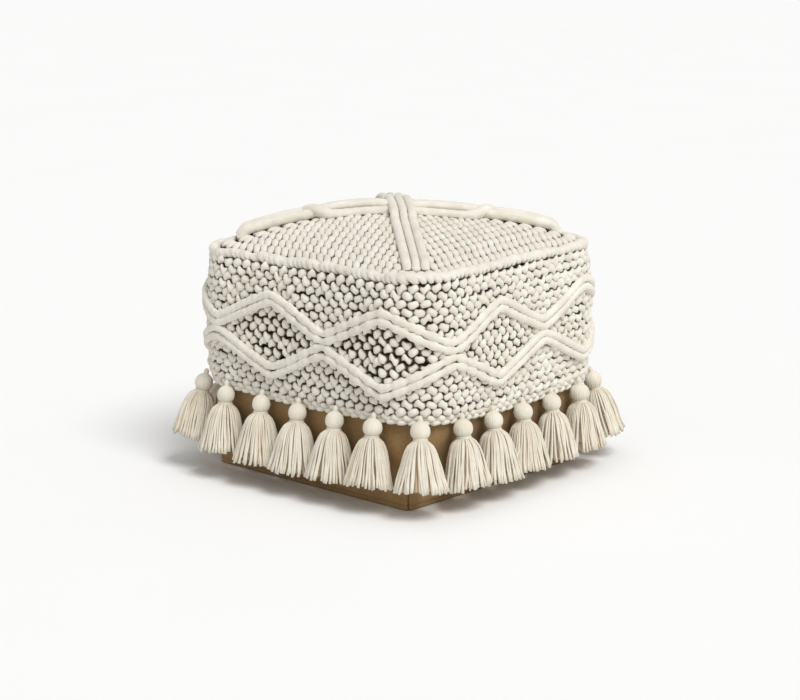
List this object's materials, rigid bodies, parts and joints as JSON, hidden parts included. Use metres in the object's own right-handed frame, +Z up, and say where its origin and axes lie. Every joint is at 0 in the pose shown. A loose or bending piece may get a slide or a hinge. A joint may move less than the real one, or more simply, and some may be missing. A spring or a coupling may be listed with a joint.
{
  "type": "floor cushion",
  "caption": "Square floor cushion: a canvas box cushion in a thick knitted slip cover with raised zigzag and cable cords, a rolled top edge and a fringe of tassels round the hem.",
  "frame": {"origin": "middle of the cushion's underside, on the floor", "axes": "+Z up; the knitted cover's sides run along X and Y, with the zip at the +Y side"},
  "size_m": [0.5276, 0.5276, 0.3924],
  "materials": {
    "knit": "thick cotton yarn, matt",
    "cord": "smooth cotton cord, matt",
    "tassel_yarn": "fine cotton yarn, matt",
    "canvas": "woven canvas, matt",
    "foam": "open-cell foam",
    "fibre": "fibre wadding",
    "zip_tape": "woven tape",
    "zip_metal": "aged, satin"
  },
  "bodies": {
    "insert": {"foam_core": "foam", "fibre_wadding": "fibre", "canvas_top_panel": "canvas", "canvas_bottom_panel": "canvas", "canvas_front_panel": "canvas", "canvas_right_panel": "canvas", "canvas_left_panel": "canvas", "canvas_back_panel": "canvas", "canvas_back_strip": "canvas", "zip_tape_upper": "zip_tape", "zip_tape_lower": "zip_tape"},
    "cover": {"knit_side_band": "knit", "knit_top": "knit", "top_edge_roll": "knit", "hem_cord": "knit", "zigzag_cord_1": "cord", "zigzag_cord_2": "cord", "zigzag_cord_3": "cord", "zigzag_cord_4": "cord", "front_back_cable_1": "cord", "front_back_cable_2": "cord", "front_back_cable_3": "cord", "left_right_cable_1": "cord", "left_right_cable_2": "cord", "left_right_cable_3": "cord"},
    "zip_slider": {"zip_slider": "zip_metal"},
    "zip_puller": {"zip_puller": "zip_metal"},
    "tassel_01": {"tassel_01": "tassel_yarn"},
    "tassel_02": {"tassel_02": "tassel_yarn"},
    "tassel_03": {"tassel_03": "tassel_yarn"},
    "tassel_04": {"tassel_04": "tassel_yarn"},
    "tassel_05": {"tassel_05": "tassel_yarn"},
    "tassel_06": {"tassel_06": "tassel_yarn"},
    "tassel_07": {"tassel_07": "tassel_yarn"},
    "tassel_08": {"tassel_08": "tassel_yarn"},
    "tassel_09": {"tassel_09": "tassel_yarn"},
    "tassel_10": {"tassel_10": "tassel_yarn"},
    "tassel_11": {"tassel_11": "tassel_yarn"},
    "tassel_12": {"tassel_12": "tassel_yarn"},
    "tassel_13": {"tassel_13": "tassel_yarn"},
    "tassel_14": {"tassel_14": "tassel_yarn"},
    "tassel_15": {"tassel_15": "tassel_yarn"},
    "tassel_16": {"tassel_16": "tassel_yarn"},
    "tassel_17": {"tassel_17": "tassel_yarn"},
    "tassel_18": {"tassel_18": "tassel_yarn"},
    "tassel_19": {"tassel_19": "tassel_yarn"},
    "tassel_20": {"tassel_20": "tassel_yarn"},
    "tassel_21": {"tassel_21": "tassel_yarn"},
    "tassel_22": {"tassel_22": "tassel_yarn"},
    "tassel_23": {"tassel_23": "tassel_yarn"},
    "tassel_24": {"tassel_24": "tassel_yarn"}
  },
  "joints": [
    {"name": "cover_lift", "type": "slide", "parent": "insert", "child": "cover", "axis": [0, 0, 1], "range_m": [0, 0.34]},
    {"name": "zip_slide", "type": "slide", "parent": "insert", "child": "zip_slider", "axis": [-0.9986, 0.0523, 0], "range_m": [0, 0.27]},
    {"name": "zip_puller_hinge", "type": "hinge", "parent": "zip_slider", "child": "zip_puller", "pos_m": [0.14497, 0.18667, 0.0165], "axis": [0, 0, 1], "range_deg": [0, 180]},
    {"name": "tassel_01_swing", "type": "hinge", "parent": "cover", "child": "tassel_01", "pos_m": [0, -0.2265, 0.13604], "axis": [-1, 0, 0], "range_deg": [0, 100]},
    {"name": "tassel_02_swing", "type": "hinge", "parent": "cover", "child": "tassel_02", "pos_m": [0.06978, -0.2265, 0.13612], "axis": [-1, 0, 0], "range_deg": [0, 100]},
    {"name": "tassel_03_swing", "type": "hinge", "parent": "cover", "child": "tassel_03", "pos_m": [0.13956, -0.2265, 0.13728], "axis": [-1, 0, 0], "range_deg": [0, 100]},
    {"name": "tassel_04_swing", "type": "hinge", "parent": "cover", "child": "tassel_04", "pos_m": [0.20307, -0.20307, 0.1385], "axis": [-0.7071, -0.7071, 0], "range_deg": [0, 100]},
    {"name": "tassel_05_swing", "type": "hinge", "parent": "cover", "child": "tassel_05", "pos_m": [0.2265, -0.13956, 0.13328], "axis": [0, -1, 0], "range_deg": [0, 100]},
    {"name": "tassel_06_swing", "type": "hinge", "parent": "cover", "child": "tassel_06", "pos_m": [0.2265, -0.06978, 0.13048], "axis": [0, -1, 0], "range_deg": [0, 100]},
    {"name": "tassel_07_swing", "type": "hinge", "parent": "cover", "child": "tassel_07", "pos_m": [0.2265, 0, 0.12896], "axis": [0, -1, 0], "range_deg": [0, 100]},
    {"name": "tassel_08_swing", "type": "hinge", "parent": "cover", "child": "tassel_08", "pos_m": [0.2265, 0.06978, 0.12917], "axis": [0, -1, 0], "range_deg": [0, 100]},
    {"name": "tassel_09_swing", "type": "hinge", "parent": "cover", "child": "tassel_09", "pos_m": [0.2265, 0.13956, 0.13069], "axis": [0, -1, 0], "range_deg": [0, 100]},
    {"name": "tassel_10_swing", "type": "hinge", "parent": "cover", "child": "tassel_10", "pos_m": [0.20307, 0.20307, 0.1335], "axis": [0.7071, -0.7071, 0], "range_deg": [0, 100]},
    {"name": "tassel_11_swing", "type": "hinge", "parent": "cover", "child": "tassel_11", "pos_m": [0.13956, 0.2265, 0.13069], "axis": [1, 0, 0], "range_deg": [0, 100]},
    {"name": "tassel_12_swing", "type": "hinge", "parent": "cover", "child": "tassel_12", "pos_m": [0.06978, 0.2265, 0.12917], "axis": [1, 0, 0], "range_deg": [0, 100]},
    {"name": "tassel_13_swing", "type": "hinge", "parent": "cover", "child": "tassel_13", "pos_m": [0, 0.2265, 0.12896], "axis": [1, 0, 0], "range_deg": [0, 100]},
    {"name": "tassel_14_swing", "type": "hinge", "parent": "cover", "child": "tassel_14", "pos_m": [-0.06978, 0.2265, 0.13048], "axis": [1, 0, 0], "range_deg": [0, 100]},
    {"name": "tassel_15_swing", "type": "hinge", "parent": "cover", "child": "tassel_15", "pos_m": [-0.13956, 0.2265, 0.13328], "axis": [1, 0, 0], "range_deg": [0, 100]},
    {"name": "tassel_16_swing", "type": "hinge", "parent": "cover", "child": "tassel_16", "pos_m": [-0.20307, 0.20307, 0.1385], "axis": [0.7071, 0.7071, 0], "range_deg": [0, 100]},
    {"name": "tassel_17_swing", "type": "hinge", "parent": "cover", "child": "tassel_17", "pos_m": [-0.2265, 0.13956, 0.13728], "axis": [0, 1, 0], "range_deg": [0, 100]},
    {"name": "tassel_18_swing", "type": "hinge", "parent": "cover", "child": "tassel_18", "pos_m": [-0.2265, 0.06978, 0.13612], "axis": [0, 1, 0], "range_deg": [0, 100]},
    {"name": "tassel_19_swing", "type": "hinge", "parent": "cover", "child": "tassel_19", "pos_m": [-0.2265, 0, 0.13604], "axis": [0, 1, 0], "range_deg": [0, 100]},
    {"name": "tassel_20_swing", "type": "hinge", "parent": "cover", "child": "tassel_20", "pos_m": [-0.2265, -0.06978, 0.13743], "axis": [0, 1, 0], "range_deg": [0, 100]},
    {"name": "tassel_21_swing", "type": "hinge", "parent": "cover", "child": "tassel_21", "pos_m": [-0.2265, -0.13956, 0.13986], "axis": [0, 1, 0], "range_deg": [0, 100]},
    {"name": "tassel_22_swing", "type": "hinge", "parent": "cover", "child": "tassel_22", "pos_m": [-0.20307, -0.20307, 0.1435], "axis": [-0.7071, 0.7071, 0], "range_deg": [0, 100]},
    {"name": "tassel_23_swing", "type": "hinge", "parent": "cover", "child": "tassel_23", "pos_m": [-0.13956, -0.2265, 0.13986], "axis": [-1, 0, 0], "range_deg": [0, 100]},
    {"name": "tassel_24_swing", "type": "hinge", "parent": "cover", "child": "tassel_24", "pos_m": [-0.06978, -0.2265, 0.13743], "axis": [-1, 0, 0], "range_deg": [0, 100]}
  ]
}
